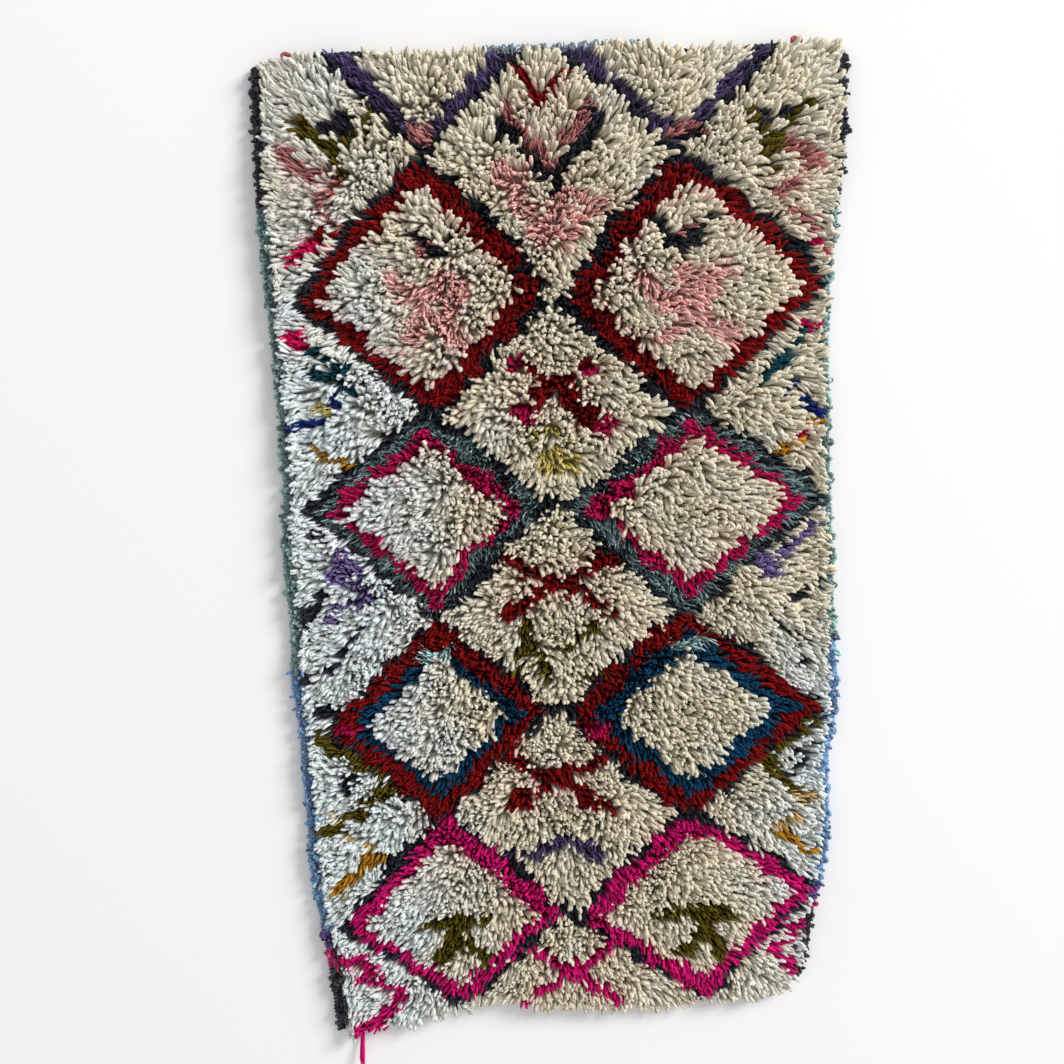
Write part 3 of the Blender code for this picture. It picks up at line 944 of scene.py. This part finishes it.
def loose_end():
    """A magenta yarn that was never trimmed, lying out past the far end near the left corner."""
    root = np.array(((-0.317, -0.705, ROOT_HEIGHT), (-0.319, -0.712, ROOT_HEIGHT)))
    lean_x, lean_y = np.array((-0.10, -0.14)), np.array((-1.9, -1.9))
    colour = tones(YARNS["magenta"].colour, 2, 0.1)
    curl = np.array((0.25, 0.15))[:, None]
    size, width = np.array((0.075, 0.060)), np.array((0.0024, 0.0022))
    return strands(root, lean_x, lean_y, size, width, colour, 4, CREAM_RINGS, curl, 0.1, stiff=0.9)


cream_finish = make_yarn_finish("cream_yarn", roughness=0.85, sheen=0.1, plies=2.0, turns=5.0, fibres=0.4)
cream_knots = np.flatnonzero(knot_yarn == "cream")
for part, chosen in enumerate(np.array_split(cream_knots, CREAM_PIECES)):
    piece = join_wool(f"pile_cream_{part + 1}", [cream_group(chosen)], cream_finish)

for yarn, wool in YARNS.items():
    chosen = np.flatnonzero(knot_yarn == yarn)
    if yarn == "cream" or not len(chosen):
        continue
    # The dyed yarns are painted darker at the knot (root_shade 0.85): painted shade deep in the pile.
    finish = make_yarn_finish(
        f"{yarn}_yarn", roughness=0.95, sheen=0.04, plies=1.0, turns=3.0, fibres=0.8, root_shade=0.85
    )
    groups = [dyed_group(yarn, chosen)]
    if len(chosen) * wool.strays_per_knot >= 1:
        groups.append(stray_group(yarn, chosen))
    if yarn == "magenta":
        groups.append(loose_end())
    piece = join_wool(f"pile_{yarn}", groups, finish)

# Both long edges are overcast: one yarn is wound round the outer warps in close slanting turns, and a new
# colour is joined in where the last one ran out. Loose loops and stray fibres stand off it.
SELVEDGE_WIDTH = 0.0135
SELVEDGE_HEIGHT = 0.0095
SELVEDGE_END_IN = 0.022
WRAP_PITCH = 0.0055
WRAP_GIRTH = 0.0024
WRAP_POINTS = 9
WRAP_SIDES = 4
# Slow sways of the turns along the edge: how far in metres, and how often
WRAP_SWAYS = ((0.0012, 61), (0.0008, 213))
WRAP_SLANT = 0.0016
WRAP_FULLNESS = 1.08
WRAP_UNEVEN, WRAP_BUMPS = 0.22, 0.03
LOOSE = 0.0015
LOOP_EVERY = 0.0016
LOOP_END_IN = 0.004
SKY = (0.20, 0.36, 0.62)
SEA = (0.24, 0.38, 0.37)
INK = (0.022, 0.024, 0.034)
PLUM = (0.14, 0.08, 0.30)
WINE = (0.50, 0.02, 0.14)
# The place in mm along the edge down to which each colour reaches, from the bound end
LEFT_COLOURS = ((530, INK), (-133, SEA), (-545, SKY), (-575, PLUM), (-605, WINE), (-800, INK))
RIGHT_COLOURS = ((508, INK), (-100, SEA), (-490, SKY), (-515, PLUM), (-532, WINE), (-800, INK))


def edge_colours(y, table):
    colour = np.zeros((len(y), 3))
    start = HALF_LENGTH
    for place, tone in table:
        colour[(y <= start) & (y > place * MM)] = tone
        start = place * MM
    return colour


def long_yarn(path, girth, sides, colour, side_way):
    """One yarn drawn along a single path."""
    length = np.concatenate(([0], np.cumsum(np.linalg.norm(np.diff(path, axis=0), axis=1))))
    full = np.concatenate((np.repeat(colour[:-1], sides, axis=0), colour[-1:]))[None]
    side_way = np.array(side_way, float)[None, None]
    return wool_along(path[None], girth[None, :-1], side_way, full, sides, length)


BOW_RINGS = (0.0, 0.2, 0.4, 0.6, 0.8, 1.0)


def bow_group(base, out, along, height, girth, colour):
    """Loose loops of yarn: each leaves its base, stands off outward and returns further along."""
    t = np.array(BOW_RINGS)[None, :, None]
    arch = np.sin(math.pi * t)
    up = np.array((0.0, 0.0, 1.0))[None, None] * height[:, None, None]
    path = base[:, None] + out[:, None] * arch + along[:, None] * (t - 0.5) + up * arch
    path = path + dice.normal(0, 0.0006, path.shape)
    path[..., 2] = np.maximum(path[..., 2], girth[:, None])
    widths = np.repeat(girth[:, None], len(BOW_RINGS) - 1, axis=1)
    side_way = np.array((0.05, 0.1, 1.0))[None, None]
    return wool_along(path, widths, side_way, colour, 4, BOW_RINGS)


# Two-ply wool as it is wound on an edge
wound_finish = make_yarn_finish(
    "overcast_yarn", roughness=0.9, sheen=0.3, plies=2.0, turns=160.0, fibres=0.6, blotches=0.6,
    blotch_scale=120.0, ply_shade=0.15, ply_light=0.95, ply_relief=0.6, relief=0.6,
)


def make_overcasting(name, edge, inward, table):
    """The winding yarn along one edge, turn by turn over the warps inside it, with its loose loops."""
    near = HALF_LENGTH - SELVEDGE_END_IN
    far = far_end(edge(-HALF_LENGTH)) + SELVEDGE_END_IN
    turns = int((near - far) / WRAP_PITCH)
    t = np.linspace(0, 1, turns * WRAP_POINTS)
    y = near + (far - near) * t
    for sway, often in WRAP_SWAYS:
        y = y + sway * np.sin(often * t)
    angle = 2 * math.pi * turns * t
    bulge = WRAP_UNEVEN * wander(0 * y, y, WRAP_BUMPS, 61)
    fullness = WRAP_FULLNESS + bulge + dice.normal(0, 0.06, len(t))
    half_wide = (SELVEDGE_WIDTH / 2 - WRAP_GIRTH * 0.7) * fullness
    half_high = (SELVEDGE_HEIGHT / 2 - WRAP_GIRTH * 0.7) * fullness
    x = edge(y) + inward * (SELVEDGE_WIDTH / 2 - LOOSE) + half_wide * np.cos(angle)
    z = np.maximum(SELVEDGE_HEIGHT / 2 + half_high * np.sin(angle), WRAP_GIRTH * 1.1)
    path = np.stack((x, y + WRAP_SLANT * np.cos(angle), z), axis=-1)
    girth = WRAP_GIRTH * np.clip(1 + dice.normal(0, 0.1, len(t)), 0.7, 1.1)
    colour = np.clip(edge_colours(y, table) * np.exp(dice.normal(0, 0.12, len(t)))[:, None], 0, 1)
    winding = long_yarn(path, girth, WRAP_SIDES, colour, (0, 1, 0))

    count = int((near - far) / LOOP_EVERY)
    y = dice.uniform(far + LOOP_END_IN, near - LOOP_END_IN, count)
    x = edge(y) + inward * dice.uniform(0.001, 0.020, count)
    base = np.stack((x, y, dice.uniform(0.004, 0.013, count)), axis=-1)
    zero = np.zeros(count)
    out = np.stack((-inward * dice.uniform(-0.002, 0.008, count), zero, zero), axis=-1)
    along = np.stack((zero, dice.normal(0, 0.006, count), zero), axis=-1)
    colour = np.clip(edge_colours(y, table) * np.exp(dice.normal(0.15, 0.40, count))[:, None], 0, 1)
    height = dice.uniform(0.000, 0.009, count)
    bows = bow_group(base, out, along, height, dice.uniform(0.0012, 0.0030, count), colour)
    return join_wool(name, [winding, bows], wound_finish, own_cells=False)


EDGES = (("left", left_edge, 1, LEFT_COLOURS), ("right", right_edge, -1, RIGHT_COLOURS))
for side, edge, inward, table in EDGES:
    overcast = make_overcasting(f"overcast_{side}", edge, inward, table)
    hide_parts(f"selvedge_{side}")

# The warps at the top end are gathered under a dark two-ply cord, which is laid along the end and tied
# off. Blue-grey ends of yarn stand off it near the middle.
HEADING_WIDTH = 0.0105
HEADING_HEIGHT = 0.0075
KNOT_SIZE = (0.018, 0.0125, 0.0105)
KNOT_PLACES = (-0.353, 0.333)
KNOT_OUT = 0.006
KNOT_LIFT = 0.007
PLY_PITCH = 0.016
PLY_POINTS = 420
CORD_ENDS = 130
CORD_ENDS_FROM, CORD_ENDS_TO = -0.085, 0.135
CORD_END_GIRTH = 0.0013
BLUE_GREY = (0.36, 0.43, 0.50)


def make_heading():
    left = KNOT_PLACES[0] + KNOT_SIZE[0] / 2
    right = KNOT_PLACES[1] - KNOT_SIZE[0] / 2
    x = np.linspace(left, right, PLY_POINTS)
    groups = []
    for ply in (0, math.pi):
        angle = 2 * math.pi * (x - left) / PLY_PITCH + ply
        y = bound_end(x) - HEADING_WIDTH / 2 + HEADING_WIDTH / 4 * np.cos(angle)
        z = HEADING_HEIGHT / 2 + HEADING_HEIGHT / 5 * np.sin(angle)
        path = np.stack((x, y, z), axis=-1)
        girth = np.full(len(x), HEADING_HEIGHT * 0.28)
        groups.append(long_yarn(path, girth, 6, tones(INK, len(x), 0.15), (0, 0, 1)))
    count = CORD_ENDS
    x = dice.uniform(CORD_ENDS_FROM, CORD_ENDS_TO, count)
    base = np.stack((x, bound_end(x) - 0.004, dice.uniform(0.004, 0.016, count)), axis=-1)
    zero = np.zeros(count)
    out = np.stack((dice.normal(0, 0.002, count), dice.uniform(0.005, 0.013, count), zero), axis=-1)
    along = np.stack((dice.normal(0, 0.006, count), zero, zero), axis=-1)
    colour = tones(BLUE_GREY, count, 0.3)
    height, girth = dice.uniform(0, 0.006, count), np.full(count, CORD_END_GIRTH)
    groups.append(bow_group(base, out, along, height, girth, colour))
    return join_wool("heading_yarn", groups, wound_finish, own_cells=False)


heading = make_heading()
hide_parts("heading_cord")

# Each end of that cord is tied off with a small round knot of rose wool. Its yarn is wound over and under
# itself, as in an overhand knot, and drawn tight.
KNOT_POINTS = 120
KNOT_WINDS = 0.26
KNOT_ROSE = (0.36, 0.10, 0.10)


def make_knot(name, x):
    """One knot of yarn, wound over itself as it is drawn tight."""
    turn = np.linspace(0, 2 * math.pi, KNOT_POINTS)
    wide, deep, high = (side / 2 for side in KNOT_SIZE)
    swing = 2 + np.cos(3 * turn)
    y = bound_end(np.array([x]))[0] - HEADING_WIDTH / 2 + KNOT_OUT
    path = np.stack(
        (
            x + wide * KNOT_WINDS * swing * np.cos(2 * turn),
            y + deep * KNOT_WINDS * swing * np.sin(2 * turn),
            KNOT_LIFT + high + high * 0.5 * np.sin(3 * turn),
        ),
        axis=-1,
    )
    colour = tones(KNOT_ROSE, len(turn), 0.08)
    yarn = long_yarn(path, np.full(len(turn), high * 0.45), 8, colour, (0, 0, 1))
    return join_wool(name, [yarn], wound_finish, own_cells=False)


for side, x in zip(("left", "right"), KNOT_PLACES):
    knot = make_knot(f"tie_{side}", x)
    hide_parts(f"knot_{side}")

# The rug lies face up on a plain pale floor, in a white room with one soft lamp far off to the upper right,
# and the camera looks down on it from a little towards the bound end.
VIEW_TARGET = Vector((-0.038, 0.067, 0.02))
VIEW_DISTANCE = 2.2
VIEW_TILT = math.radians(12.0)
VIEW_ROLL = math.radians(1.4)
VIEW_WIDTH = 1.5215
SENSOR = 36.0
FLOOR_HALF = 6
FLOOR_TONE = (0.93, 0.93, 0.93, 1.0)
ROOM_TONE = (1.0, 1.0, 1.0, 1.0)
ROOM_LIGHT = 0.585
LAMP_PLACE = Vector((11.9, 8.6, 8.0))
LAMP_SIZE = 6.5
LAMP_POWER = 2600
LAMP_TINT = (1.0, 0.99, 0.98)

floor_mesh = bpy.data.meshes.new("floor")
floor_corners = [(FLOOR_HALF * x, FLOOR_HALF * y, 0) for x, y in ((-1, -1), (1, -1), (1, 1), (-1, 1))]
floor_mesh.from_pydata(floor_corners, [], [(0, 1, 2, 3)])
floor = put_in_scene("floor", floor_mesh)
floor_finish, floor_surface, _ = start_material("floor_paint", 0.9, 0.0)
floor_surface.inputs["Base Color"].default_value = FLOOR_TONE
floor_mesh.materials.append(floor_finish)

world = bpy.data.worlds.new("studio")
world.use_nodes = True
world.node_tree.nodes["Background"].inputs["Color"].default_value = ROOM_TONE
world.node_tree.nodes["Background"].inputs["Strength"].default_value = ROOM_LIGHT
bpy.context.scene.world = world

lamp_light = bpy.data.lights.new("key", "AREA")
lamp_light.shape = "DISK"
lamp_light.size = LAMP_SIZE
lamp_light.energy = LAMP_POWER
lamp_light.color = LAMP_TINT
lamp = put_in_scene("key", lamp_light)
lamp.location = LAMP_PLACE
lamp.rotation_mode = "QUATERNION"
lamp.rotation_quaternion = (-LAMP_PLACE).to_track_quat("-Z", "Y")

back = Vector((0.0, math.sin(VIEW_TILT), math.cos(VIEW_TILT)))
level_up = Vector((0.0, math.cos(VIEW_TILT), -math.sin(VIEW_TILT)))
right = math.cos(VIEW_ROLL) * Vector((1, 0, 0)) - math.sin(VIEW_ROLL) * level_up
up = math.sin(VIEW_ROLL) * Vector((1, 0, 0)) + math.cos(VIEW_ROLL) * level_up
camera_data = bpy.data.cameras.new("view")
camera_data.sensor_width = SENSOR
camera_data.lens = SENSOR * VIEW_DISTANCE / VIEW_WIDTH
camera = put_in_scene("view", camera_data)
facing = Matrix((right, up, back)).transposed().to_4x4()
camera.matrix_world = Matrix.Translation(VIEW_TARGET + VIEW_DISTANCE * back) @ facing
bpy.context.scene.camera = camera
bpy.context.scene.view_settings.view_transform = "Standard"
